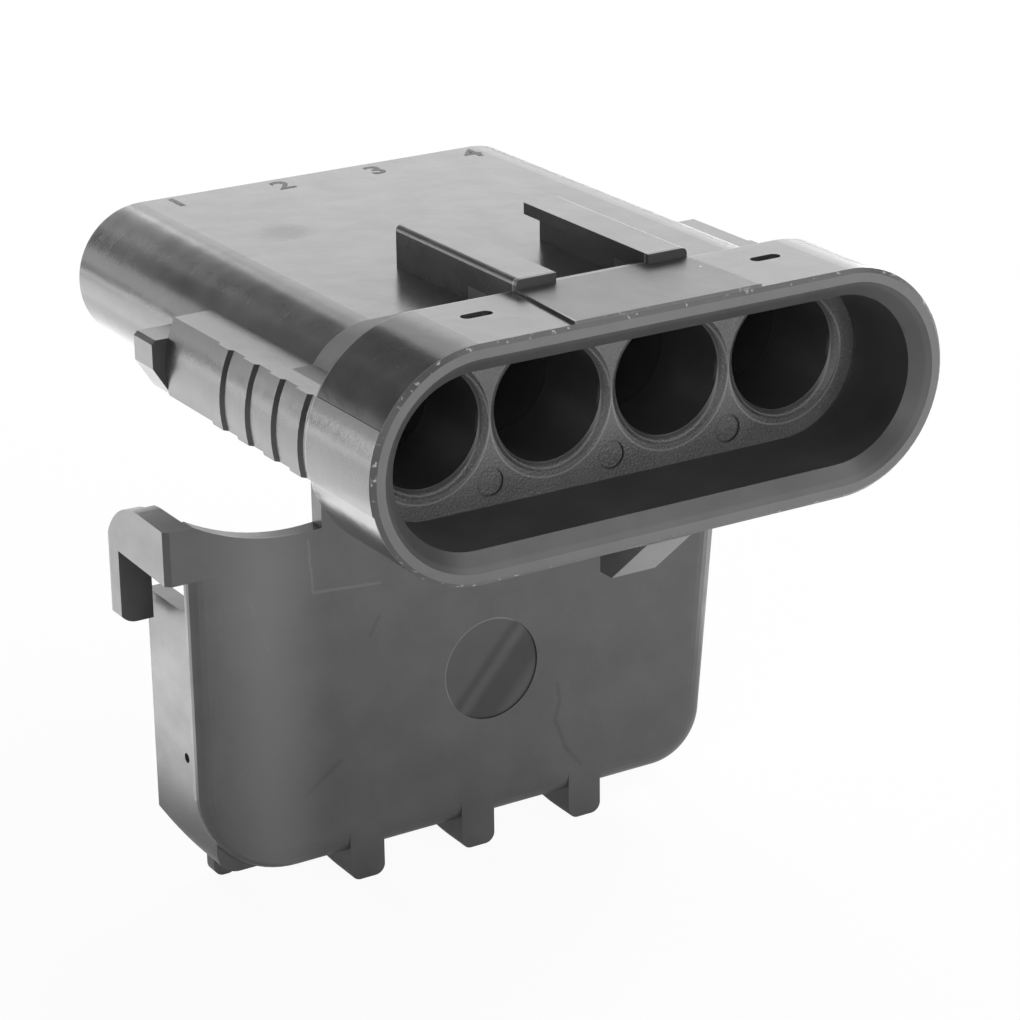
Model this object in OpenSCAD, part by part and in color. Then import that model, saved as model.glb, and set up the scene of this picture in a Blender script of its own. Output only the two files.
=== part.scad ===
// Sealed in-line wire connector, socket half, with its strap-hinged rear lock cover hanging open.
// Millimetres. X runs across the ways, Y runs from the mating mouth to the wires, Z is up.
// The origin is the middle of the mating mouth, on its front rim.
// The cover is drawn shut, in place round the rear of the housing, and then swung open.

/* [Ways] */
// Number of wire ways in the row
ways = 4; // [2:1:6]
// Distance between neighbouring ways
pitch = 8.4; // [8.2:0.1:12]
// Height of the ways above the middle of the mouth
way_z = 0.35; // [0:0.05:0.6]
// Radius of the front bores, which take the other half's towers
front_bore_r = 3.685; // [3.2:0.005:3.8]
// Radius at the lip of the flared edge of a front bore
front_lip_r = 4.17; // [3.9:0.01:4.18]
// Depth of that flare
front_lip_depth = 0.42; // [0.2:0.02:0.8]
// Length of a front bore behind its flare
front_bore_len = 13.4; // [8:0.2:16]
// Radius of the terminal passage through the web
passage_r = 1.9; // [1:0.1:2.6]
// Radius of the rear bores, which take the wire seals
rear_bore_r = 3.3; // [2.6:0.05:3.6]
// Length of a rear bore
rear_bore_len = 13.8; // [8:0.2:16]

/* [Mating shroud] */
// Radius of the shroud's round ends
shroud_r = 7.12; // [6.9:0.02:9]
// Length of the shroud along Y
shroud_len = 7.6; // [7.2:0.1:14]
// Depth of the recessed face behind the rim
mouth_depth = 6.28; // [5:0.02:6.4]
// Width of the flat of the front rim
rim_w = 0.8; // [0.5:0.05:1]
// Radius of the mouth's inner wall at its front end
mouth_r = 5.3; // [5.25:0.01:5.6]
// Radius of the mouth's inner wall at the recessed face
mouth_floor_r = 5.16; // [5.05:0.01:5.25]
// Depth of the sloped lead-in behind the rim
lead_in = 1.0; // [0.4:0.1:2]

/* [Body] */
// Radius of the body's round sides
body_r = 4.6; // [4.5:0.05:5]
// Height of the body's middle above the middle of the mouth
body_z = 0.7; // [0.4:0.05:0.9]
// Distance from the front rim to the body's rear face
body_end = 43.3; // [40:0.1:60]
// Bevel round the body's rear edge
body_bevel = 0.3; // [0.1:0.05:0.4]

/* [Clip rails on top] */
// Distance from the middle to the inner edge of a rail's lip
rail_gap = 3.2; // [2.4:0.1:4]
// Width of the wall under a rail's lip
rail_wall = 1.6; // [1:0.1:2.4]
// Width of a rail's lip
rail_w = 2.75; // [2.6:0.05:4]
// Thickness of a rail's lip
lip_t = 0.75; // [0.5:0.05:1.5]
// Distance from the front rim to the rails' rear ends
rail_end = 21.0; // [14:0.5:24]

/* [Side rails and lock nubs] */
// Lowest level of a side rail
side_low = -1.63; // [-2.4:0.05:-1]
// Top level of a side rail
side_top = 3.25; // [2.6:0.05:4]
// Distance from the front rim to a side rail's rear end
side_end = 25.3; // [25:0.1:32]
// Number of finger ridges on a side rail
grip_count = 4; // [1:1:4]
// Distance between finger ridges
grip_pitch = 3.2; // [2.4:0.05:3.4]
// Distance from the front rim to the first ridge
grip_start = 7.85; // [7.7:0.05:9]
// Width of a finger ridge
grip_w = 1.75; // [1:0.05:2]
// How far a finger ridge stands out
grip_h = 0.2; // [0.1:0.02:0.4]
// Length of a lock nub along Y
nub_len = 2.45; // [1.5:0.05:3]
// Level of the nub's flat top, which the latch hooks over
nub_top = 2.0; // [1.6:0.1:2.6]
// How far a nub stands out past its side rail
nub_out = 0.88; // [0.4:0.02:1.2]

/* [Guide ramp] */
// Width of the ramp under the shroud
ramp_w = 3.1; // [2:0.1:5]
// How far the ramp stands down from the shroud
ramp_h = 3.33; // [1.5:0.01:4.5]

/* [Rear lock cover] */
// Thickness of the cover's plate
plate_t = 1.25; // [0.9:0.05:1.8]
// Thickness of the cover's walls
wall_t = 1.3; // [0.8:0.05:1.6]
// Play between the shut cover and the body, at the sides and below
cover_play = 0.15; // [0.1:0.05:0.4]
// Play between the body's rear face and the cover's end wall
end_play = 0.3; // [0.2:0.05:2]
// Thickness of the leaning end wall at the plate
end_foot_t = 2.5; // [1.6:0.1:3]
// Thickness of the end wall at its top edge
end_top_t = 0.8; // [0.7:0.05:1.5]
// How far the plate's edge stands out past the side walls
flange_w = 1.4; // [1:0.05:2]
// How far the plate's edge stands out behind the end wall
end_lip = 0.4; // [0.3:0.05:1.5]
// Radius of the plate's left rear corner
left_corner_r = 6.8; // [3.5:0.1:8]
// Radius of the plate's right rear corner
right_corner_r = 3.8; // [3.5:0.1:8]
// Width of the rounding along the plate's outer edge
edge_w = 1.6; // [0.6:0.05:2]
// Height of that rounding
edge_h = 0.95; // [0.4:0.05:0.95]
// Angle at which the plate's right edge draws in towards the rear
draw_angle = 5; // [0:0.5:5]
// Level of the walls' top edges when the cover is shut
wall_top = 4.3; // [3:0.1:5]
// Width of a wire slot in the end wall
slot_w = 5.4; // [4.4:0.1:5.8]
// Width of the tongue that carries the hinge strap
tongue_w = 21.9; // [12:0.1:24]
// How far the tongue stands out in front of the latch loops, cover shut
tongue_len = 2.05; // [1:0.05:3]
// Width of a wire fin
fin_w = 2.5; // [1.2:0.1:2.8]
// How far the fins stand out behind the plate
fin_out = 1.95; // [1:0.05:4]
// Depth of the scoops beside the tongue
scoop_depth = 1.97; // [0.5:0.01:2.6]

/* [Latch loops] */
// Play between a latch loop and the side rail, and round the lock nub
latch_play = 0.18; // [0.05:0.01:0.3]
// Thickness of a latch loop, measured across the connector
latch_t = 1.8; // [1.5:0.05:2.4]
// Width of the bar in front of the window
front_bar_w = 3.57; // [2.4:0.01:4]
// Width of the bar behind the window
rear_bar_w = 2.2; // [1.6:0.1:3]
// Thickness of the bar above the window, which hooks over the nub
hook_t = 2.3; // [1.2:0.1:3]
// How far the hook reaches in over the nub
hook_bite = 1.3; // [0.6:0.05:1.5]

/* [Hinge strap] */
// How far the open cover hangs below the body
hang_drop = 3.35; // [2.8:0.05:5]
// How far back the open cover hangs, from the tongue's place when shut
hang_back = 3.0; // [2.4:0.05:4]
// Thickness of the hinge strap
strap_t = 0.5; // [0.3:0.05:0.8]
// Width of the hinge strap
strap_w = 18; // [8:0.5:21]
// How far the strap's root stands down from the body
root_h = 0.7; // [0.4:0.05:1]

/* [Pose] */
// Angle of the cover, from 0 for hanging open as moulded to 90 for shut
cover_angle = 0; // [-30:5:90]

/* [Hidden] */
$fn = 96;
eps = 0.01;
plastic = [0.07, 0.07, 0.075];

// Places along the row of ways
end_x = (ways - 1) * pitch / 2;
way_x = [for (i = [0:ways - 1]) (i - (ways - 1) / 2) * pitch];
mid_x = [for (i = [0:ways - 2]) (i - (ways - 2) / 2) * pitch];

// Levels and half widths of the housing
body_half_w = end_x + body_r;
body_top = body_z + body_r;
body_low = body_z - body_r;
side_x = end_x + shroud_r;
web_front = mouth_depth + front_lip_depth + front_bore_len;
web_rear = body_end - rear_bore_len;
rear_flare = 0.25;
rim_bevel = 0.25;

// Marks left in the shroud by its mould
pad_h = 0.18;
pad_half_w = [6.4, 5.9];
pad_span = [0.25, shroud_len + 0.2];
oval_r = 0.42;
oval_run = 1.2;
oval_depth = 0.2;
oval_x = 10.0;
oval_y = 4.9;
eject_r = 0.85;
eject_depth = 0.12;
eject_z = -3.7;

// Clip rails
rail_front = shroud_len - 0.4;
bead_r = 0.35;
rail_out = rail_gap + rail_w;
rail_top = shroud_r + lip_t;

// Side rails and nubs
band_h = 0.06;
band_t = 0.5;
grip_slopes = [0.3, 0.12];
side_in = end_x + 1;
nub_end = side_end + nub_len;
nub_x = side_x + nub_out;
nub_low = 0.2;
nub_bevel = 0.25;
nub_ramp_x = side_x - 0.27;

// Guide ramp
ramp_front = 0.2;
ramp_foot = [3.95, 5.2];

// Cover, as it stands when shut
plate_top = body_low - cover_play;
plate_low = plate_top - plate_t;
wall_in = body_half_w + cover_play;
wall_out = wall_in + wall_t;
plate_half_w = wall_out + flange_w;
end_in = body_end + end_play;
end_foot = end_in + end_foot_t;
end_out = end_foot + end_lip;
end_lean = (end_foot_t - end_top_t) / (wall_top - plate_top);
wall_front = nub_end + latch_play + 1;
tub_r = [1.6, 3.2];
wall_inset = 0.5;
slot_r = slot_w / 2;
fin_round = 0.7;
fin_end = end_out + fin_out;
outer_fin_x = end_x + 3.4;
outer_fin_w = 1.7;
outer_fin_low = 0.2;
outer_fin_top = 1.2;

// Marks left in the cover by its mould
disc_r = 3.5;
disc_depth = 0.12;
disc_place = [1.25, end_out - 10.55];
gate_r = 0.33;
gate_depth = 0.25;
gate_place = [end_foot - 6.9, -0.35];

// Scoops cut in the plate's front edge, each an arc round a centre in front of the plate
hump_front = side_end - latch_play - front_bar_w;
scoop_r = 14.9;
scoop_x = 12.4;

// Latch loops
latch_in = side_x + band_h + latch_play;
latch_out = latch_in + latch_t;
latch_lean = 0.3;
latch_top = nub_top + 0.1 + hook_t;
window_front = side_end - latch_play;
window_rear = nub_end + latch_play;
latch_rear = window_rear + rear_bar_w;
hook_in = nub_x - hook_bite;
hook_front = window_front + 0.8;
lead_x = nub_x + 0.05;
lead_low = -0.3;
nose_r = 5.6;
latch_round = 1.3;
top_round = 1.0;
foot_round = 0.35;

// The open cover hangs upright from its tongue, and shut it lies level with its windows round the
// nubs. A quarter turn about this line takes it from one to the other.
tongue_end = hump_front - tongue_len;
hang_y = tongue_end + hang_back;
hang_top = body_low - hang_drop;
hinge_y = (hang_y - plate_low + hang_top + tongue_end) / 2;
hinge_z = (hang_top + tongue_end - hang_y + plate_low) / 2;

// Hinge strap, from a root under the body to the end of the tongue, with the cover hanging open
root_y = [tongue_end - 1.8, tongue_end - 0.4];
strap_top = [root_y[1] - 0.6, body_low - root_h];
strap_foot = [hang_y + plate_t / 2, hang_top];
strap_steps = 16;

// Runs an outline drawn in X and Z along Y
module along_y(y0, y1) {
    translate([0, y1, 0])
        rotate([90, 0, 0])
            linear_extrude(y1 - y0)
                children();
}

// Runs an outline drawn in Y and Z along X
module along_x(x0, x1) {
    translate([x0, 0, 0])
        rotate([90, 0, 90])
            linear_extrude(x1 - x0)
                children();
}

// Both sides of the connector
module both_sides() {
    children();
    mirror([1, 0, 0])
        children();
}

// Sweeps a profile round the long race-track shape of the connector. In the profile, x is the
// distance from the line that joins the end ways, and y is the depth behind the front rim.
module race_track(half_run) {
    for (side = [0, 180])
        rotate([0, side, 0]) {
            translate([half_run, 0, 0])
                rotate([-90, 90, 0])
                    rotate_extrude(angle = -180)
                        children();
            translate([-half_run, 0, 0])
                rotate([90, 0, 90])
                    linear_extrude(2 * half_run)
                        rotate(90)
                            mirror([0, 1, 0])
                                children();
        }
}

// The shroud: a deep rim round the recessed face
module shroud() {
    race_track(end_x)
        polygon([
            [0, mouth_depth],
            [mouth_floor_r, mouth_depth],
            [mouth_r, lead_in],
            [shroud_r - rim_w, 0],
            [shroud_r - rim_bevel, 0],
            [shroud_r, rim_bevel],
            [shroud_r, shroud_len],
            [0, shroud_len]
        ]);
}

// The body behind the shroud
module barrel() {
    translate([0, 0, body_z])
        race_track(end_x)
            polygon([
                [0, shroud_len],
                [body_r, shroud_len],
                [body_r, body_end - body_bevel],
                [body_r - body_bevel, body_end],
                [0, body_end]
            ]);
}

// Raised pad on top of the shroud, wider at its front
module pad() {
    translate([0, 0, shroud_r - 0.5])
        linear_extrude(pad_h + 0.5)
            polygon([
                [-pad_half_w[0], pad_span[0]],
                [pad_half_w[0], pad_span[0]],
                [pad_half_w[1], pad_span[1]],
                [-pad_half_w[1], pad_span[1]]
            ]);
}

// One of the two clip rails on top, with its lip turned inwards
module clip_rail() {
    along_y(rail_front, rail_end)
        polygon(concat(
            [
                [rail_gap, rail_top],
                [rail_gap, shroud_r],
                [rail_out - rail_wall, shroud_r],
                [rail_out - rail_wall, body_top - 0.5],
                [rail_out, body_top - 0.5]
            ],
            [for (a = [0:15:90]) [rail_out - bead_r + bead_r * cos(a), rail_top - bead_r + bead_r * sin(a)]]
        ));
}

// Cuts what is round down to the height of the side rail
module side_slice() {
    intersection() {
        children();
        translate([side_in, 0, side_low])
            cube([shroud_r + 2, side_end, side_top - side_low]);
    }
}

// Turns a profile of radius and depth about the end way
module round_end_way() {
    translate([end_x, 0, 0])
        rotate([-90, 0, 0])
            rotate_extrude()
                children();
}

// One side rail with its finger ridges. Its face runs on as a thin band along the shroud.
module side_rail() {
    side_slice()
        round_end_way() {
            polygon([
                [shroud_r - band_t, rim_bevel],
                [shroud_r, rim_bevel],
                [shroud_r + band_h, rim_bevel + band_h],
                [shroud_r + band_h, side_end],
                [0, side_end],
                [0, shroud_len - eps],
                [shroud_r - band_t, shroud_len - eps]
            ]);
            for (i = [0:grip_count - 1])
                translate([shroud_r + band_h, grip_start + i * grip_pitch])
                    grip();
        }
}

// Profile of one finger ridge, with the steeper flank to the rear
module grip() {
    polygon([
        [-band_t, 0],
        [0, 0],
        [grip_h, grip_slopes[0]],
        [grip_h, grip_w - grip_slopes[1]],
        [0, grip_w],
        [-band_t, grip_w]
    ]);
}

// One lock nub behind the side rail: flat on top, ramped below
module lock_nub() {
    along_y(side_end - eps, nub_end)
        polygon([
            [side_in, nub_top],
            [nub_x - nub_bevel, nub_top],
            [nub_x, nub_top - nub_bevel],
            [nub_x, nub_low],
            [nub_ramp_x, side_low],
            [side_in, side_low]
        ]);
}

// The guide ramp under the shroud
module guide_ramp() {
    along_x(-ramp_w / 2, ramp_w / 2)
        polygon([
            [ramp_front, -shroud_r + 0.4],
            [ramp_front, -shroud_r],
            [ramp_foot[0], -shroud_r - ramp_h],
            [ramp_foot[1], -shroud_r - ramp_h],
            [ramp_foot[1], -shroud_r + 0.4]
        ]);
}

// The strap's root under the body
module strap_root() {
    along_x(-strap_w / 2, strap_w / 2)
        polygon([
            [root_y[0], body_low + 0.4],
            [root_y[0] + root_h, body_low - root_h],
            [root_y[1], body_low - root_h],
            [root_y[1], body_low + 0.4]
        ]);
}

// The hollow of one way: flared front bore, terminal passage, rear seal bore
module way() {
    translate([0, 0, way_z])
        rotate([-90, 0, 0])
            rotate_extrude()
                polygon([
                    [0, mouth_depth - 1],
                    [front_lip_r, mouth_depth - 1],
                    [front_lip_r, mouth_depth],
                    [front_bore_r, mouth_depth + front_lip_depth],
                    [front_bore_r, web_front],
                    [passage_r, web_front],
                    [passage_r, web_rear],
                    [rear_bore_r, web_rear],
                    [rear_bore_r, body_end - rear_flare],
                    [rear_bore_r + rear_flare, body_end],
                    [rear_bore_r + rear_flare, body_end + 1],
                    [0, body_end + 1]
                ]);
}

// Shallow marks left by the mould: pins on the recessed face, ovals on top
module mould_marks() {
    for (x = mid_x)
        translate([x, mouth_depth - 1, eject_z])
            rotate([-90, 0, 0])
                cylinder(r = eject_r, h = 1 + eject_depth);
    for (side = [-1, 1])
        translate([side * oval_x, oval_y, shroud_r - oval_depth])
            linear_extrude(1) {
                translate([-oval_run / 2, -oval_r])
                    square([oval_run, 2 * oval_r]);
                for (e = [-1, 1])
                    translate([e * oval_run / 2, 0])
                        circle(r = oval_r);
            }
}

// The whole housing, one moulding
module housing() {
    color(plastic)
        difference() {
            union() {
                shroud();
                barrel();
                pad();
                guide_ramp();
                strap_root();
                both_sides() {
                    clip_rail();
                    side_rail();
                    lock_nub();
                }
            }
            for (x = way_x)
                translate([x, 0, 0])
                    way();
            mould_marks();
        }
}

// A disc as thick as the plate, with the plate's rounded outer edge
module plate_disc(r) {
    rotate_extrude($fn = 72)
        polygon(concat(
            [[0, plate_top], [0, plate_low]],
            [for (a = [-90:15:0]) [r - edge_w + edge_w * cos(a), plate_low + edge_h + edge_h * sin(a)]],
            [[r, plate_top]]
        ));
}

// The two discs at one side of the plate, of which the rear one may stand further in
module side_discs(r, draw) {
    run = end_out - r - hump_front;
    translate([plate_half_w - r, hump_front])
        plate_disc(r);
    translate([plate_half_w - r - run * tan(draw), hump_front + run])
        plate_disc(r);
}

// The plate, stretched over four discs, with its right side drawn in towards the rear
module plate() {
    difference() {
        hull() {
            side_discs(right_corner_r, draw_angle);
            mirror([1, 0, 0])
                side_discs(left_corner_r, 0);
        }
        translate([-plate_half_w - 1, hump_front - 2 * left_corner_r, plate_low - 1])
            cube([2 * plate_half_w + 2, 2 * left_corner_r, plate_t + 2]);
        both_sides()
            scoop();
        translate([disc_place[0], disc_place[1], plate_low - 1])
            cylinder(r = disc_r, h = 1 + disc_depth);
    }
    translate([-tongue_w / 2, tongue_end, plate_low])
        cube([tongue_w, hump_front - tongue_end + 1, plate_t]);
}

// The cutter for the scoop beside the tongue
module scoop() {
    intersection() {
        translate([scoop_x, hump_front + scoop_depth - scoop_r, plate_low - 1])
            cylinder(r = scoop_r, h = plate_t + 2);
        translate([tongue_w / 2, hump_front - 1, plate_low - 1])
            cube([plate_half_w - tongue_w / 2, scoop_depth + 2, plate_t + 2]);
    }
}

// Outline of the cover's tub seen from above. The right wall thins towards its rear, so that it
// stays behind the plate.
module tub_outline() {
    right = wall_out - wall_inset;
    translate([-wall_out, wall_front])
        square([tub_r[0], end_foot - tub_r[0] - wall_front]);
    translate([-wall_out + tub_r[0], wall_front])
        square([wall_out + right - tub_r[0] - tub_r[1], end_foot - wall_front]);
    translate([right - tub_r[1], wall_front])
        square([tub_r[1], end_foot - tub_r[1] - wall_front]);
    translate([-wall_out + tub_r[0], end_foot - tub_r[0]])
        circle(r = tub_r[0]);
    translate([right - tub_r[1], end_foot - tub_r[1]])
        circle(r = tub_r[1]);
    polygon([
        [wall_in, wall_front],
        [wall_out, wall_front],
        [right, end_foot - tub_r[1]],
        [wall_in, end_foot - tub_r[1]]
    ]);
}

// Takes off what stands behind a face that leans forwards as the end wall does
module leaning_cut(half, foot) {
    rise = wall_top + 1 - plate_top;
    along_x(-half, half)
        polygon([
            [foot, plate_top],
            [foot + 4, plate_top],
            [foot + 4, plate_top + rise],
            [foot - end_lean * rise, plate_top + rise]
        ]);
}

// The side walls and the leaning end wall, with a slot for each wire
module tub() {
    difference() {
        translate([0, 0, plate_top - eps])
            linear_extrude(wall_top - plate_top + eps)
                tub_outline();
        leaning_cut(wall_out + 1, end_foot);
        translate([-wall_in, 0, plate_top - 1])
            cube([2 * wall_in, end_in, wall_top - plate_top + 2]);
        for (x = way_x)
            translate([x, 0, way_z])
                along_y(end_in - 1, end_foot + 1) {
                    circle(r = slot_r);
                    translate([-slot_r, 0])
                        square([slot_w, wall_top + 1]);
                }
        translate([-wall_out - 1, gate_place[0], gate_place[1]])
            rotate([0, 90, 0])
                cylinder(r = gate_r, h = 1 + gate_depth);
    }
}

// A wire fin behind the end wall, of that width and between two levels, with rounded rear edges
module fin(width, low, top) {
    translate([-width / 2, end_in, low])
        cube([width, fin_end - fin_round - end_in, top - low]);
    translate([-width / 2 + fin_round, end_in, low])
        cube([width - 2 * fin_round, fin_end - end_in, top - low]);
    for (side = [-1, 1])
        translate([side * (width / 2 - fin_round), fin_end - fin_round, low])
            cylinder(r = fin_round, h = top - low);
}

// The fins between the slots, which lean with the end wall, and the short outer fins
module fins() {
    difference() {
        for (x = mid_x)
            translate([x, 0, 0])
                fin(fin_w, plate_low, wall_top);
        leaning_cut(wall_out, fin_end);
    }
    for (side = [-1, 1])
        translate([side * outer_fin_x, 0, 0])
            fin(outer_fin_w, outer_fin_low, outer_fin_top);
}

// One latch loop: an arm beside the side rail, and at its top a bar that hooks over the lock nub
// and runs back into the side wall
module latch_loop() {
    difference() {
        intersection() {
            along_x(wall_in + eps, latch_out + 1)
                loop_side();
            along_y(hump_front - 1, latch_rear + 1)
                loop_front();
            translate([0, 0, plate_low - 1])
                linear_extrude(latch_top - plate_low + 2)
                    loop_plan();
        }
        translate([wall_in - 1, hump_front - 1, lead_low])
            cube([lead_x - wall_in + 1, hook_front - hump_front + 1, latch_top]);
    }
    difference() {
        intersection() {
            along_y(hump_front, window_front)
                loop_front();
            translate([wall_in + eps, hump_front, plate_low])
                cube([latch_out, window_front - hump_front, plate_t]);
        }
        scoop();
    }
}

// The loop seen from the side: the arm, with a nose rounded at its front top, and the bar
module loop_side() {
    difference() {
        intersection() {
            translate([hump_front, plate_low])
                square([latch_rear - hump_front, latch_top - plate_low]);
            union() {
                translate([hump_front + nose_r, latch_top - nose_r])
                    circle(r = nose_r);
                translate([hump_front, plate_low])
                    square([latch_rear - hump_front, latch_top - nose_r - plate_low]);
                translate([hump_front + nose_r, plate_low])
                    square([latch_rear - hump_front, latch_top - plate_low]);
            }
        }
        translate([window_front, plate_low - 1])
            square([latch_rear + 1 - window_front, nub_top + 0.1 - plate_low + 1]);
    }
}

// The loop seen from the front: it leans inwards towards its rounded top
module loop_front() {
    polygon(concat(
        [
            [hook_in, latch_top],
            [hook_in, nub_top + 0.1],
            [wall_in, nub_top + 0.1],
            [wall_in, plate_low],
            [latch_out - foot_round, plate_low],
            [latch_out, plate_low + foot_round]
        ],
        [for (a = [0:15:90]) [
            latch_out - latch_lean - top_round + top_round * cos(a),
            latch_top - top_round + top_round * sin(a)
        ]]
    ));
}

// The loop seen from above: the arm stands clear of the side rail, the bar's rear end joins the wall
module loop_plan() {
    translate([latch_in, hump_front])
        square([latch_out - latch_in, latch_rear - latch_round - hump_front]);
    translate([wall_in, window_rear])
        square([latch_out - latch_round - wall_in, rear_bar_w]);
    translate([hook_in, hook_front])
        square([latch_in - hook_in + eps, window_rear - hook_front + eps]);
    translate([latch_out - latch_round, latch_rear - latch_round])
        circle(r = latch_round);
}

// The cover, drawn shut
module cover_shut() {
    plate();
    tub();
    fins();
    both_sides()
        latch_loop();
}

// Turns what is drawn shut about the hinge line, to the angle of the pose
module swing() {
    translate([0, hinge_y, hinge_z])
        rotate([cover_angle - 90, 0, 0])
            translate([0, -hinge_y, -hinge_z])
                children();
}

// The rear lock cover
module lock_cover() {
    color(plastic)
        swing()
            cover_shut();
}

// A point of a cubic curve that leaves and arrives straight down
function strap_point(t) =
    let (
        drop = (strap_top[1] - strap_foot[1]) * 0.55,
        a = strap_top,
        b = strap_top - [0, drop],
        c = strap_foot + [0, drop],
        d = strap_foot
    )
    pow(1 - t, 3) * a + 3 * pow(1 - t, 2) * t * b + 3 * (1 - t) * t * t * c + pow(t, 3) * d;

// The sideways direction of that curve, one unit long
function strap_side(t) =
    let (
        step = 0.001,
        along = strap_point(min(1, t + step)) - strap_point(max(0, t - step)),
        way = (t == 0 || t == 1) ? [0, -1] : along / norm(along)
    )
    [-way[1], way[0]];

// A point beside the curve
function strap_edge(t, out) = strap_point(t) + strap_side(t) * out;

// The thin strap that lets the cover swing, shown as moulded with the cover open
module hinge_strap() {
    color(plastic)
        along_x(-strap_w / 2, strap_w / 2)
            polygon(concat(
                [for (i = [0:strap_steps]) strap_edge(i / strap_steps, strap_t / 2)],
                [for (i = [strap_steps:-1:0]) strap_edge(i / strap_steps, -strap_t / 2)]
            ));
}

housing();
lock_cover();
hinge_strap();
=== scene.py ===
import math

import bmesh
import bpy
from mathutils import Matrix, Vector


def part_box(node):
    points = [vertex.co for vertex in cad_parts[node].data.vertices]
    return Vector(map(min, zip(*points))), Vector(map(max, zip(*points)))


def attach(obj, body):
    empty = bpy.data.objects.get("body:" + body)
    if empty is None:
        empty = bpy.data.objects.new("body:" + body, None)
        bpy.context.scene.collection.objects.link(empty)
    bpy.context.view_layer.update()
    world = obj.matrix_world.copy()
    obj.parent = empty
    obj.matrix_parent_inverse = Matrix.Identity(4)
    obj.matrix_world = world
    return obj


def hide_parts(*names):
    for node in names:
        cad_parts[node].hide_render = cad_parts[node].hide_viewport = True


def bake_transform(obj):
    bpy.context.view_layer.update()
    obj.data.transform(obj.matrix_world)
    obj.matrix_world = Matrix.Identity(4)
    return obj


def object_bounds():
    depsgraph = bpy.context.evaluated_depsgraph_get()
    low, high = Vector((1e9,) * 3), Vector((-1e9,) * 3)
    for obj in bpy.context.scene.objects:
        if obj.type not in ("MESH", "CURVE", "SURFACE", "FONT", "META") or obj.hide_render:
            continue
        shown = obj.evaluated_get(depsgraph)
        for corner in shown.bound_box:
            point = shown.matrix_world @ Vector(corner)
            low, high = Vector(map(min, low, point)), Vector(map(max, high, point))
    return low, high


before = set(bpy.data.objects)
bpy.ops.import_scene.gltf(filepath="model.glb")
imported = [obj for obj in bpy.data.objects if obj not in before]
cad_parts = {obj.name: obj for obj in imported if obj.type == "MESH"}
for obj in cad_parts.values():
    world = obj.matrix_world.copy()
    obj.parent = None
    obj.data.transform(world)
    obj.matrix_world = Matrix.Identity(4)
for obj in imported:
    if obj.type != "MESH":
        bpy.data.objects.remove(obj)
cad_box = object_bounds()

MM = 0.001
WHITE = (1.0, 1.0, 1.0, 1.0)

# The photograph's camera, in the object's frame
CAMERA_PLACE = Vector((-102.68, -149.72, 63.91)) * MM
CAMERA_AZIMUTH = math.radians(-31.49)
CAMERA_ELEVATION = math.radians(20.83)
CAMERA_ROLL = math.radians(-0.8)
CAMERA_LENS = 118.28
CAMERA_SENSOR = 36.0
CAMERA_NEAR = 0.01
CAMERA_FAR = 10.0

# Grey of the room as the object sees it
ROOM_LEVEL = 0.12

# Soft panels, which all face the middle of the object: place, width, height (m) and power (W)
CENTRE = Vector((0.0, 0.02, -0.01))
LAMPS = {
    "back_right_low": ((0.36, 0.62, 0.10), 0.45, 0.16, 0.44),
    "back_right": ((0.33, 0.58, 0.25), 0.40, 0.16, 0.41),
    "back_right_high": ((0.28, 0.50, 0.42), 0.40, 0.20, 0.39),
    "back_far_right": ((0.62, 0.42, 0.18), 0.35, 0.30, 4.8),
    "back": ((0.02, 0.68, 0.25), 0.35, 0.16, 0.42),
    "back_low": ((0.02, 0.72, 0.10), 0.35, 0.16, 3.2),
    "back_left_low": ((-0.36, 0.60, 0.08), 0.40, 0.16, 0.44),
    "left": ((-0.50, 0.45, 0.0), 0.25, 0.12, 1.1),
    "front": ((0.05, -0.70, 0.10), 0.40, 0.30, 3.2),
    "front_left": ((-0.50, -0.50, 0.25), 0.50, 0.40, 1.6),
    "top_front": ((0.30, -0.22, 0.49), 0.40, 0.40, 1.6),
}

# Bright patches of the floor, which shine upwards: x, y, width, depth (m) and power (W)
FLOOR_PATCHES = {
    "floor_left": (-0.10, 0.13, 0.12, 0.14, 0.125),
    "floor_far_left": (-0.20, 0.26, 0.16, 0.14, 0.29),
    "floor_back": (0.0, 0.13, 0.08, 0.14, 0.042),
    "floor_beside_cover": (-0.038, 0.048, 0.03, 0.03, 0.009),
    "floor_front_right": (0.075, -0.10, 0.12, 0.12, 0.13),
    "floor_front_left": (-0.045, -0.075, 0.08, 0.06, 0.02),
    "floor_right": (0.062, 0.016, 0.05, 0.03, 0.009),
}
PATCH_LEVEL = -0.034
PATCH_TARGET_LEVEL = 1.0

# The floor lies at the lowest point of the object, and is nearly white to the camera
FLOOR_SIZE = 3.0
FLOOR_COLOUR = (0.86, 0.86, 0.86, 1.0)
FLOOR_ROUGHNESS = 0.9
FLOOR_WHITE = 0.93

# Softening of the moulding's edges
EDGE_WIDTH = 0.10 * MM
EDGE_SEGMENTS = 2
EDGE_ANGLE = math.radians(32)
FLAT_ANGLE = math.radians(1.0)

# Each plastic: its darkest and palest grey, lowest and highest roughness, and strength of skin
PLASTICS = {
    "housing_plastic": (0.030, 0.044, 0.165, 0.225, 0.25),
    "cover_plastic": (0.042, 0.058, 0.28, 0.4, 0.35),
    "strap_plastic": (0.042, 0.058, 0.28, 0.4, 0.35),
    "number_plastic": (0.02, 0.03, 0.5, 0.6, 0.3),
}
PLASTIC_IOR = 1.52
BLUE_SHARE = 1.03

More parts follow.
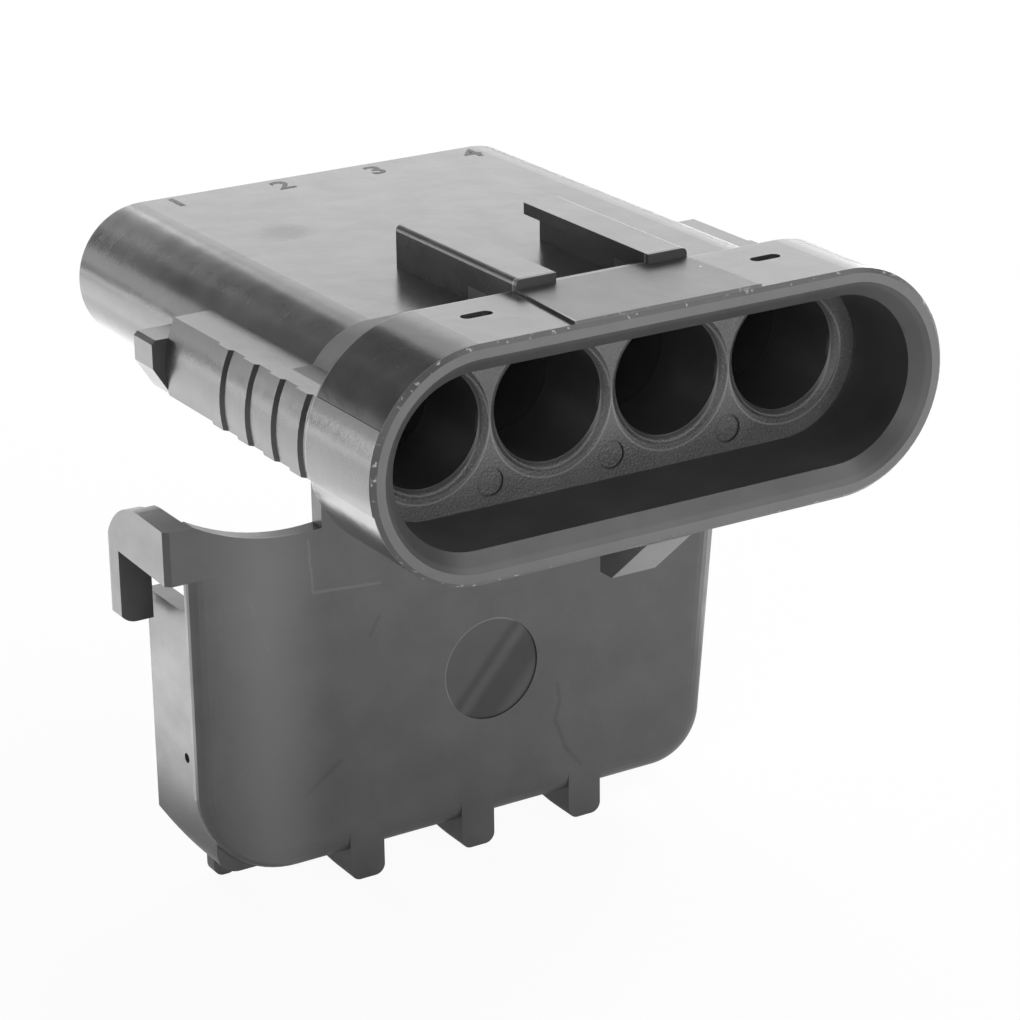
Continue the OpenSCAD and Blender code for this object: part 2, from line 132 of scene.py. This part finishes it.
# Noises: how often each repeats in a metre, its detail, its roughness and its stretch
CLOUDS = (260.0, 4.0, 0.6)
PATCHES = (420.0, 5.0, 0.65, (1.0, 0.45, 1.0))
SKIN = (5200.0, 2.0, 0.6)
WAVES = (330.0, 2.0, 0.4)
LUMPS = (7000.0, 2.0, 0.6)
CHIPS = (2600.0, 2.0, 0.5)
WANDER = (500.0, 2.0, 0.5)

# The range of a noise that is spread over the whole range of a look
NOISE_LOW = 0.3
NOISE_HIGH = 0.7

# Heights of the plastic's fine skin, of its slow waves and of the mouth's grain
SKIN_HEIGHT = 0.02 * MM
WAVE_HEIGHT = 0.12 * MM
WAVE_STRENGTH = 0.25
GRAIN_HEIGHT = 0.05 * MM

# Half widths of the soft steps between regions, and of those at the edges of fine lines
STEP = 0.08 * MM
FINE_STEP = 0.03 * MM

# What a region adds to the roughness
DULLER = {"mouth": 0.24, "pad": 0.16, "body": 0.03, "smudge": 0.08}

# Marks in the plastic, and painted highlights, shade and reflections on it: the share of another
# grey that is mixed in, and that grey
MARKS = {
    "grain": (0.6, 0.075),
    "rim": (0.35, 0.08),
    "ejector_painted_shade": (0.75, 0.012),
    "lip": (0.5, 0.16),
    "rear_edge_highlight": (0.7, 0.22),
    "chip": (1.0, 0.3),
    "fleck": (1.0, 0.55),
    "disc": (0.4, 0.02),
    "streak_painted_reflection": (0.8, 0.008),
    "disc_rim": (0.6, 0.16),
    "dark_scratch": (0.4, 0.015),
    "pale_scratch": (0.35, 0.12),
    "painted_light_band": (0.75, 0.10),
}

# The housing's main sizes, for the looks of its regions
WAYS = 4
PITCH = 8.4 * MM
END_X = (WAYS - 1) / 2 * PITCH
SHROUD_R = 7.12 * MM
SHROUD_LEN = 7.6 * MM
MOUTH_R = 6.15 * MM
MOUTH_DEPTH = 6.28 * MM
RIM_DEPTH = 0.3 * MM
PAD_HALF = 6.2 * MM
PAD_LEVEL = 7.17 * MM
BODY_START = SHROUD_LEN + 0.3 * MM
BODY_STEP = 0.2 * MM

# Where the marks of the recessed face start and end along y, and where the painted highlights on
# the bores' lips end
FACE_START = MOUTH_DEPTH - 0.2 * MM
FACE_END = MOUTH_DEPTH + 0.3 * MM
LIP_HIGHLIGHT_END = MOUTH_DEPTH + 0.7 * MM

# The soft spot on top of the body
SMUDGE_X = -8.1 * MM
SMUDGE_Y = 31.4 * MM
SMUDGE_R = 1.5 * MM
SMUDGE_STEP = 0.9 * MM
SMUDGE_LOW = 5 * MM

# The grain's paler peaks, as a level of its noise
PEAK_LEVEL = 0.56
PEAK_STEP = 0.08

# The painted shade round the edges of the ejector marks: from its inner to its outer radius, and
# the height of their middles
EJECT_INNER = 0.80 * MM
EJECT_OUTER = 0.93 * MM
EJECT_Z = -3.7 * MM

# The painted highlights: pale lines round each bore's lip
LIP_HIGHLIGHT_R = (3.66 * MM, 4.17 * MM)
LIP_HIGHLIGHT_HALF = 0.05 * MM

# The painted highlight along the shroud's rear edge, and the chips along its front edge
REAR_EDGE_Y = SHROUD_LEN - 0.03 * MM
REAR_EDGE_HALF = 0.07 * MM
REAR_EDGE_R = SHROUD_R - 0.3 * MM
FRONT_EDGE_END = 0.22 * MM
FRONT_EDGE_R = SHROUD_R - 0.22 * MM
FRONT_EDGE_STEP = 0.06 * MM
CHIP_LEVEL = 0.66
CHIP_STEP = 0.04

# Flecks on the shroud: cells in a metre, size in a cell, and the share of cells without one
FLECK_CELLS = 330.0
FLECK_SIZE = 0.028
FLECK_BARE = 0.72
FLECK_STEP = 0.01
FLECK_END = SHROUD_LEN + 2 * MM
FLECK_END_STEP = 1.0 * MM

# The cover's outer face, and where its marks end behind it
COVER_FACE = 22.5 * MM
COVER_MARK_END = COVER_FACE + 0.3 * MM
COVER_MARK_STEP = 0.05 * MM

# The round mark on the cover, darkened as a painted reflection: its middle, its radius, its rim,
# and where the rim gets a painted highlight
DISC_X = 1.25 * MM
DISC_Z = -23.7 * MM
DISC_R = 3.5 * MM
DISC_RIM_INNER = DISC_R - 0.08 * MM
DISC_RIM_OUTER = DISC_R + 0.05 * MM
DISC_RIM_STEP = 0.04 * MM
DISC_HIGHLIGHT = 1.4 * MM
DISC_HIGHLIGHT_STEP = 1.2 * MM

# The painted dark reflections that streak over it: the direction across them, and each one's start
# and end with its steps
STREAK_ACROSS = (-0.74, 0.67)
WIDE_STREAK = ((-2.6 * MM, 0.5 * MM), (-0.55 * MM, 0.35 * MM))
NARROW_STREAK = ((0.1 * MM, 0.25 * MM), (0.75 * MM, 0.3 * MM))
NARROW_SHARE = 0.8

# How far the lines on the cover wander, and the shares of that in the painted reflection streaks
# and the scratches
WANDER_WIDTH = 0.9 * MM
STREAK_WANDER = 0.4
SCRATCH_WANDER = 0.35

# Scratches on the cover's face, each from one point (x, z in mm) to the next, and their widths
DARK_SCRATCHES = [
    ((-12.7, -29.2), (-10.2, -27.4)),
    ((6.3, -26.0), (6.5, -27.3)),
    ((6.5, -27.3), (6.1, -28.7)),
    ((6.1, -28.7), (7.0, -30.9)),
    ((7.0, -30.9), (8.1, -32.3)),
    ((-7.7, -19.2), (-7.0, -18.1)),
]
DARK_WIDTH = 0.14 * MM
PALE_SCRATCHES = [
    ((-12.0, -11.9), (-11.7, -15.4)),
    ((-11.7, -15.4), (-6.9, -15.8)),
    ((-16.3, -14.8), (-15.9, -16.0)),
    ((-15.3, -17.6), (-15.1, -18.6)),
]
PALE_WIDTH = 0.09 * MM
SCRATCH_EDGE = 0.7

# Middle and half width of the painted light band down the cover's left side
LIGHT_BAND_X = -15.2 * MM
LIGHT_BAND_HALF = 2.3 * MM

# Hinge strap: its thickness and cut corners, the sections along it, and its ends' straight run
STRAP_THICKNESS = 0.5 * MM
STRAP_CORNER = 0.14 * MM
STRAP_STEPS = 24
STRAP_DROP = 0.55

# Numbers beside the ways: their size, height, spread, level, and places in mm on the housing
NUMBER_SIZE = 2.6 * MM
NUMBER_HEIGHT = 0.012 * MM
NUMBER_SPREAD = 0.06 * MM
NUMBER_LEVEL = 5.3 * MM
NUMBERS = {"1": (-10.6, 41.5), "2": (-2.9, 41.35), "3": (4.1, 41.2), "4": (11.7, 41.3)}


def link_object(name, data):
    made = bpy.data.objects.new(name, data)
    bpy.context.scene.collection.objects.link(made)
    return made


def camera_axes(azimuth, elevation, roll):
    """Right, up and back directions of a camera that looks in at that angle."""
    right = Vector((math.cos(azimuth), math.sin(azimuth), 0.0))
    back = Vector((
        math.sin(azimuth) * math.cos(elevation),
        -math.cos(azimuth) * math.cos(elevation),
        math.sin(elevation),
    ))
    up = back.cross(right)
    return (
        right * math.cos(roll) + up * math.sin(roll),
        up * math.cos(roll) - right * math.sin(roll),
        back,
    )


def make_camera():
    data = bpy.data.cameras.new("camera")
    data.sensor_width = CAMERA_SENSOR
    data.lens = CAMERA_LENS
    data.clip_start = CAMERA_NEAR
    data.clip_end = CAMERA_FAR
    camera = link_object("camera", data)
    turn = Matrix(camera_axes(CAMERA_AZIMUTH, CAMERA_ELEVATION, CAMERA_ROLL)).transposed()
    camera.matrix_world = Matrix.Translation(CAMERA_PLACE) @ turn.to_4x4()
    bpy.context.scene.camera = camera


def area_light(name, place, target, width, height, power):
    """A soft panel that faces its target and stays out of the camera's view."""
    data = bpy.data.lights.new(name, "AREA")
    data.shape = "RECTANGLE"
    data.size = width
    data.size_y = height
    data.energy = power
    light = link_object(name, data)
    light.location = place
    light.rotation_euler = (target - Vector(place)).to_track_quat("-Z", "Y").to_euler()
    light.visible_camera = False


def make_lights():
    for name, (place, width, height, power) in LAMPS.items():
        area_light(name, place, CENTRE, width, height, power)
    for name, (x, y, width, depth, power) in FLOOR_PATCHES.items():
        target = Vector((x, y, PATCH_TARGET_LEVEL))
        area_light(name, (x, y, PATCH_LEVEL), target, width, depth, power)


def make_world():
    """White to the camera, and a grey room for light and reflections."""
    world = bpy.data.worlds.new("studio")
    bpy.context.scene.world = world
    world.use_nodes = True
    tree = world.node_tree
    tree.nodes.clear()
    out = tree.nodes.new("ShaderNodeOutputWorld")
    seen = tree.nodes.new("ShaderNodeBackground")
    seen.inputs["Color"].default_value = WHITE
    lit = tree.nodes.new("ShaderNodeBackground")
    lit.inputs["Color"].default_value = WHITE
    lit.inputs["Strength"].default_value = ROOM_LEVEL
    path = tree.nodes.new("ShaderNodeLightPath")
    mix = tree.nodes.new("ShaderNodeMixShader")
    tree.links.new(path.outputs["Is Camera Ray"], mix.inputs["Fac"])
    tree.links.new(lit.outputs["Background"], mix.inputs[1])
    tree.links.new(seen.outputs["Background"], mix.inputs[2])
    tree.links.new(mix.outputs["Shader"], out.inputs["Surface"])


def grey(value):
    return (value, value, value * BLUE_SHARE, 1.0)


class Shader:
    """One material, with small helpers that add nodes to it. A mask is 1 in its region, else 0."""

    def __init__(self, name):
        self.material = bpy.data.materials.new(name)
        self.material.use_nodes = True
        self.tree = self.material.node_tree
        self.tree.nodes.clear()
        self.out = self.node("ShaderNodeOutputMaterial")
        self.surface = self.node("ShaderNodeBsdfPrincipled")
        self.feed(self.surface.outputs["BSDF"], self.out.inputs["Surface"])

    def node(self, kind, sockets=None, **settings):
        """A new node with those settings, whose sockets are linked or set by name."""
        made = self.tree.nodes.new(kind)
        for name, value in settings.items():
            setattr(made, name, value)
        for name, value in (sockets or {}).items():
            self.feed(value, made.inputs[name])
        return made

    def feed(self, value, socket):
        """Links the socket to another node's output, or sets it to a plain value."""
        if isinstance(value, bpy.types.NodeSocket):
            self.tree.links.new(value, socket)
        else:
            socket.default_value = value

    def point(self):
        """The object's own coordinates."""
        return self.node("ShaderNodeTexCoord").outputs["Object"]

    def noise(self, scale, detail, rough, stretch=(1.0, 1.0, 1.0)):
        mapping = self.node("ShaderNodeMapping", {"Vector": self.point(), "Scale": stretch})
        sockets = {
            "Vector": mapping.outputs["Vector"],
            "Scale": scale,
            "Detail": detail,
            "Roughness": rough,
        }
        return self.node("ShaderNodeTexNoise", sockets).outputs["Fac"]

    def greys(self, noise, dark, light):
        """Turns a noise into a colour between two greys."""
        ramp = self.node("ShaderNodeValToRGB", {"Fac": noise})
        first, last = ramp.color_ramp.elements
        first.position, first.color = NOISE_LOW, grey(dark)
        last.position, last.color = NOISE_HIGH, grey(light)
        return ramp.outputs["Color"]

    def spread(self, noise, low, high):
        """Turns a noise into a number between low and high."""
        sockets = {
            "Value": noise,
            "From Min": NOISE_LOW,
            "From Max": NOISE_HIGH,
            "To Min": low,
            "To Max": high,
        }
        return self.node("ShaderNodeMapRange", sockets).outputs["Result"]

    def bump(self, height, strength, distance, under=None):
        """Relief on top of the surface's shape, or of another relief."""
        sockets = {"Height": height, "Strength": strength, "Distance": distance}
        if under:
            sockets["Normal"] = under
        return self.node("ShaderNodeBump", sockets).outputs["Normal"]

    def maths(self, operation, *values):
        """One sum of sockets and numbers."""
        made = self.node("ShaderNodeMath", operation=operation)
        for value, socket in zip(values, made.inputs):
            self.feed(value, socket)
        return made.outputs["Value"]

    def plus(self, a, b):
        return self.maths("ADD", a, b)

    def less(self, a, b):
        return self.maths("SUBTRACT", a, b)

    def times(self, a, b):
        return self.maths("MULTIPLY", a, b)

    def apart(self, a, b=0.0):
        """How far a lies from b, on either side."""
        return self.maths("ABSOLUTE", self.less(a, b))

    def length(self, a, b):
        return self.maths("SQRT", self.plus(self.times(a, a), self.times(b, b)))

    def above(self, value, level, soft):
        """0 below the level and 1 above it, with a soft step."""
        sockets = {"Value": value, "From Min": level - soft, "From Max": level + soft}
        step = self.node("ShaderNodeMapRange", sockets, interpolation_type="SMOOTHSTEP")
        return step.outputs["Result"]

    def below(self, value, level, soft):
        return self.less(1.0, self.above(value, level, soft))

    def within(self, value, low, high, soft):
        return self.times(self.above(value, low, soft), self.below(value, high, soft))

    def both(self, *masks):
        out = masks[0]
        for mask in masks[1:]:
            out = self.times(out, mask)
        return out

    def either(self, *masks):
        out = masks[0]
        for mask in masks[1:]:
            out = self.maths("MAXIMUM", out, mask)
        return out

    def stroke(self, a, b, x, z, width):
        """The line between two points of the xz plane."""
        run = b - a
        off_x, off_z = self.less(x, a.x), self.less(z, a.y)
        along = self.plus(
            self.times(off_x, run.x / run.length_squared),
            self.times(off_z, run.y / run.length_squared),
        )
        along = self.maths("MINIMUM", self.maths("MAXIMUM", along, 0.0), 1.0)
        gap_x = self.less(off_x, self.times(along, run.x))
        gap_z = self.less(off_z, self.times(along, run.y))
        return self.below(self.length(gap_x, gap_z), width, width * SCRATCH_EDGE)

    def strokes(self, lines, x, z, width):
        """Several such lines, given in mm."""
        return self.either(*[
            self.stroke(Vector(a) * MM, Vector(b) * MM, x, z, width) for a, b in lines
        ])

    def dull(self, region, mask):
        """Adds what that region adds to the roughness."""
        self.rough = self.plus(self.rough, self.times(mask, DULLER[region]))

    def mark(self, kind, mask):
        """Puts a mark of that kind into the colour."""
        share, tone = MARKS[kind]
        sockets = {"Factor": self.times(mask, share), "A": self.colour, "B": grey(tone)}
        self.colour = self.node("ShaderNodeMix", sockets, data_type="RGBA").outputs["Result"]


def black_plastic(name, marks=None):
    """Moulded black plastic: cloudy colour, patchy gloss and a fine skin, and then its marks and
    painted light and shade.
    """
    dark, light, rough_low, rough_high, skin = PLASTICS[name]
    s = Shader(name)
    s.colour = s.greys(s.noise(*CLOUDS), dark, light)
    s.rough = s.spread(s.noise(*PATCHES), rough_low, rough_high)
    s.normal = s.bump(s.noise(*SKIN), skin, SKIN_HEIGHT)
    s.normal = s.bump(s.noise(*WAVES), WAVE_STRENGTH, WAVE_HEIGHT, s.normal)
    if marks:
        x, y, z = s.node("ShaderNodeSeparateXYZ", {"Vector": s.point()}).outputs
        marks(s, x, y, z)
    s.feed(s.colour, s.surface.inputs["Base Color"])
    s.feed(s.rough, s.surface.inputs["Roughness"])
    s.feed(s.normal, s.surface.inputs["Normal"])
    s.feed(PLASTIC_IOR, s.surface.inputs["IOR"])
    return s.material


def repeat(s, x, shift):
    """Distance along x from the nearest of a row of middles one pitch apart."""
    return s.less(s.maths("MODULO", s.plus(x, shift), PITCH), PITCH / 2)


def face_marks(s, x, y, z, mouth):
    """The recessed face: its grain, painted shade round the ejector marks, and painted highlights
    on the bores' lips.
    """
    face = s.within(y, FACE_START, FACE_END, STEP)
    grainy = s.both(mouth, face)
    lumps = s.noise(*LUMPS)
    s.normal = s.bump(s.both(grainy, lumps), 1.0, GRAIN_HEIGHT, s.normal)
    s.mark("grain", s.both(grainy, s.above(lumps, PEAK_LEVEL, PEAK_STEP)))

    between_ways = repeat(s, x, (WAYS + 0.5) * PITCH)
    ejector_r = s.length(between_ways, s.less(z, EJECT_Z))
    outline = s.within(ejector_r, EJECT_INNER, EJECT_OUTER, FINE_STEP)
    # Painted shade: a dark ring round each ejector mark's edge.
    s.mark("ejector_painted_shade", s.both(outline, face, s.below(s.apart(x), END_X, STEP)))

    # Painted highlights: pale rings at the edges of each bore's lip.
    bore_r = s.length(repeat(s, x, WAYS * PITCH), z)
    lips = s.either(*[
        s.within(bore_r, r - LIP_HIGHLIGHT_HALF, r + LIP_HIGHLIGHT_HALF, FINE_STEP) for r in LIP_HIGHLIGHT_R
    ])
    deep = s.within(y, FACE_START, LIP_HIGHLIGHT_END, STEP)
    s.mark("lip", s.both(lips, deep, s.below(s.apart(x), END_X + PITCH / 2, STEP)))


def edge_marks(s, y, out):
    """A painted highlight along the shroud's rear edge, its chipped front edge and its flecks."""
    # Painted highlight: a pale line along the shroud's rear edge.
    rear_highlight = s.below(s.apart(y, REAR_EDGE_Y), REAR_EDGE_HALF, FINE_STEP)
    s.mark("rear_edge_highlight", s.both(rear_highlight, s.above(out, REAR_EDGE_R, STEP)))
    chips = s.above(s.noise(*CHIPS), CHIP_LEVEL, CHIP_STEP)
    front = s.below(y, FRONT_EDGE_END, STEP)
    s.mark("chip", s.both(front, s.above(out, FRONT_EDGE_R, FRONT_EDGE_STEP), chips))

    sockets = {"Vector": s.point(), "Scale": FLECK_CELLS}
    cells = s.node("ShaderNodeTexVoronoi", sockets)
    lot = s.node("ShaderNodeSeparateColor", {"Color": cells.outputs["Color"]}).outputs["Red"]
    spot = s.below(cells.outputs["Distance"], FLECK_SIZE, FLECK_STEP)
    chosen = s.above(lot, FLECK_BARE, FLECK_STEP)
    s.mark("fleck", s.both(spot, chosen, s.below(y, FLECK_END, FLECK_END_STEP)))


def housing_marks(s, x, y, z):
    """The matt mouth, rim, pad and body, the soft spot, the rim's painted light, and the marks,
    painted shade and painted highlights of the face and edges.
    """
    past_end = s.maths("MAXIMUM", s.less(s.apart(x), END_X), 0.0)
    out = s.length(past_end, z)
    mouth = s.both(s.below(out, MOUTH_R, STEP), s.below(y, 2 * MOUTH_DEPTH, STEP))
    rim = s.below(y, RIM_DEPTH, STEP)
    on_pad = s.both(s.below(s.apart(x), PAD_HALF, STEP), s.above(z, PAD_LEVEL, STEP))
    body = s.above(y, BODY_START, BODY_STEP)
    s.dull("mouth", s.either(mouth, rim))
    s.dull("pad", s.both(on_pad, s.below(y, SHROUD_LEN, STEP)))
    s.dull("body", s.both(body, s.less(1.0, mouth)))
    smudge = s.length(s.less(x, SMUDGE_X), s.less(y, SMUDGE_Y))
    smudge = s.below(smudge, SMUDGE_R, SMUDGE_STEP)
    s.dull("smudge", s.both(smudge, s.above(z, SMUDGE_LOW, STEP)))
    # Painted light: the rim's front face is made paler.
    s.mark("rim", rim)
    face_marks(s, x, y, z, mouth)
    edge_marks(s, y, out)


def cover_marks(s, x, y, z):
    """The round mark darkened by painted reflections, with a painted highlight on its rim, the
    scratches, and a painted light band down the left side.
    """
    face = s.below(y, COVER_MARK_END, COVER_MARK_STEP)
    wander = s.times(s.less(s.noise(*WANDER), 0.5), WANDER_WIDTH)
    off_x, off_z = s.less(x, DISC_X), s.less(z, DISC_Z)
    disc_r = s.length(off_x, off_z)
    disc = s.both(face, s.below(disc_r, DISC_R, FINE_STEP))
    lean = s.plus(s.times(off_x, STREAK_ACROSS[0]), s.times(off_z, STREAK_ACROSS[1]))
    lean = s.plus(lean, s.times(wander, STREAK_WANDER))
    wide, narrow = [
        s.both(s.above(lean, *start), s.below(lean, *end))
        for start, end in (WIDE_STREAK, NARROW_STREAK)
    ]
    # Painted reflection: the round mark and its streaks are darkened.
    s.mark("disc", disc)
    s.mark("streak_painted_reflection", s.both(disc, s.either(wide, s.times(narrow, NARROW_SHARE))))
    # Painted highlight: the rim is made pale on one side of the round mark.
    rim = s.both(face, s.within(disc_r, DISC_RIM_INNER, DISC_RIM_OUTER, DISC_RIM_STEP))
    highlight_side = s.above(s.less(off_z, off_x), DISC_HIGHLIGHT, DISC_HIGHLIGHT_STEP)
    s.mark("disc_rim", s.both(rim, highlight_side))

    wavy = s.plus(x, s.times(wander, SCRATCH_WANDER))
    s.mark("dark_scratch", s.both(face, s.strokes(DARK_SCRATCHES, wavy, z, DARK_WIDTH)))
    s.mark("pale_scratch", s.both(face, s.strokes(PALE_SCRATCHES, wavy, z, PALE_WIDTH)))

    # Painted light: a paler band down the cover's left side.
    painted_light_band = s.within(x, LIGHT_BAND_X - LIGHT_BAND_HALF, LIGHT_BAND_X + LIGHT_BAND_HALF, LIGHT_BAND_HALF)
    s.mark("painted_light_band", s.both(painted_light_band, face))


def floor_material():
    """Pale and matt. The camera sees most of it as plain white, and the rest has the shadow."""
    s = Shader("floor_pale")
    s.feed(FLOOR_COLOUR, s.surface.inputs["Base Color"])
    s.feed(FLOOR_ROUGHNESS, s.surface.inputs["Roughness"])
    s.feed(0.0, s.surface.inputs["Specular IOR Level"])
    white = s.node("ShaderNodeEmission")
    seen = s.node("ShaderNodeLightPath").outputs["Is Camera Ray"]
    mix = s.node("ShaderNodeMixShader", {"Fac": s.times(seen, FLOOR_WHITE)})
    s.feed(s.surface.outputs["BSDF"], mix.inputs[1])
    s.feed(white.outputs["Emission"], mix.inputs[2])
    s.feed(mix.outputs["Shader"], s.out.inputs["Surface"])
    return s.material


def make_floor():
    level = cad_box[0][2]
    half = FLOOR_SIZE / 2
    corners = [(x * half, y * half, level) for x, y in ((-1, -1), (1, -1), (1, 1), (-1, 1))]
    mesh = bpy.data.meshes.new("floor")
    mesh.from_pydata(corners, [], [(0, 1, 2, 3)])
    mesh.materials.append(floor_material())
    floor = link_object("floor", mesh)


def make_piece(name, mesh, material):
    """An object made of that mesh, in the plastic's slot."""
    mesh.materials.clear()
    mesh.materials.append(material)
    piece = link_object(name, mesh)
    return piece


def strap_centre(t, top, foot):
    """A point of the strap's curve, which leaves and arrives straight down, and the way across."""
    drop = Vector((0, 0, (top - foot).z * STRAP_DROP))
    a, b, c, d = top, top - drop, foot + drop, foot
    point = (1 - t) ** 3 * a + 3 * (1 - t) ** 2 * t * b + 3 * (1 - t) * t ** 2 * c + t ** 3 * d
    along = (1 - t) ** 2 * (b - a) + 2 * (1 - t) * t * (c - b) + t ** 2 * (d - c)
    along.normalize()
    return point, Vector((0, -along.z, along.y))


def make_strap(material):
    """The hinge strap as one bending skin between the housing and the cover."""
    low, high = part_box("hinge_strap")
    half_w = (high[0] - low[0]) / 2
    half_t = STRAP_THICKNESS / 2
    top = Vector((0, low[1] + half_t, high[2]))
    foot = Vector((0, high[1] - half_t, low[2]))
    side = [
        (half_w - STRAP_CORNER, half_t),
        (half_w, half_t - STRAP_CORNER),
        (half_w, STRAP_CORNER - half_t),
        (half_w - STRAP_CORNER, -half_t),
    ]
    section = side + [(-x, n) for x, n in reversed(side)]
    bm = bmesh.new()
    rings = []
    for i in range(STRAP_STEPS + 1):
        point, across = strap_centre(i / STRAP_STEPS, top, foot)
        rings.append([bm.verts.new(point + Vector((x, 0, 0)) + across * n) for x, n in section])
    count = len(section)
    for a, b in zip(rings, rings[1:]):
        for k in range(count):
            bm.faces.new((a[k], a[(k + 1) % count], b[(k + 1) % count], b[k]))
    bm.faces.new(rings[0][::-1])
    bm.faces.new(rings[-1])
    bmesh.ops.recalc_face_normals(bm, faces=bm.faces)
    mesh = bpy.data.meshes.new("strap_skin")
    bm.to_mesh(mesh)
    bm.free()
    mesh.shade_smooth()
    strap = make_piece("strap_skin", mesh, material)
    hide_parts("hinge_strap")
    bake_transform(strap)


def make_way_number(text, place, material):
    """A small number that marks a way, moulded on top of the housing."""
    name = "way_" + text
    curve = bpy.data.curves.new(name, "FONT")
    curve.body = text
    curve.size = NUMBER_SIZE
    curve.align_x = "CENTER"
    curve.align_y = "CENTER"
    curve.extrude = NUMBER_HEIGHT
    curve.offset = NUMBER_SPREAD
    drawn = link_object("drawn", curve)
    bpy.context.view_layer.update()
    mesh = bpy.data.meshes.new_from_object(drawn)
    mesh.name = name
    bpy.data.objects.remove(drawn)
    piece = make_piece(name, mesh, material)
    piece.location = place
    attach(piece, "housing")


def soften(obj):
    """Gives a moulding its small edge radius."""
    flat = obj.modifiers.new("merge_flats", "DECIMATE")
    flat.decimate_type = "DISSOLVE"
    flat.angle_limit = FLAT_ANGLE
    bevel = obj.modifiers.new("edges", "BEVEL")
    bevel.width = EDGE_WIDTH
    bevel.segments = EDGE_SEGMENTS
    bevel.limit_method = "ANGLE"
    bevel.angle_limit = EDGE_ANGLE


def set_material(obj, material):
    for slot in obj.material_slots:
        slot.material = material


def finish_nodes():
    """Gives the CAD nodes their looks, and adds the strap's skin and the numbers."""
    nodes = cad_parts
    set_material(nodes["housing"], black_plastic("housing_plastic", housing_marks))
    set_material(nodes["lock_cover"], black_plastic("cover_plastic", cover_marks))
    strap_plastic = black_plastic("strap_plastic")
    set_material(nodes["hinge_strap"], strap_plastic)
    soften(nodes["housing"])
    soften(nodes["lock_cover"])
    make_strap(strap_plastic)
    number_plastic = black_plastic("number_plastic")
    for text, (x, y) in NUMBERS.items():
        make_way_number(text, (x * MM, y * MM, NUMBER_LEVEL), number_plastic)


make_camera()
make_world()
make_lights()
make_floor()
finish_nodes()

bpy.context.scene.view_settings.view_transform = "Standard"
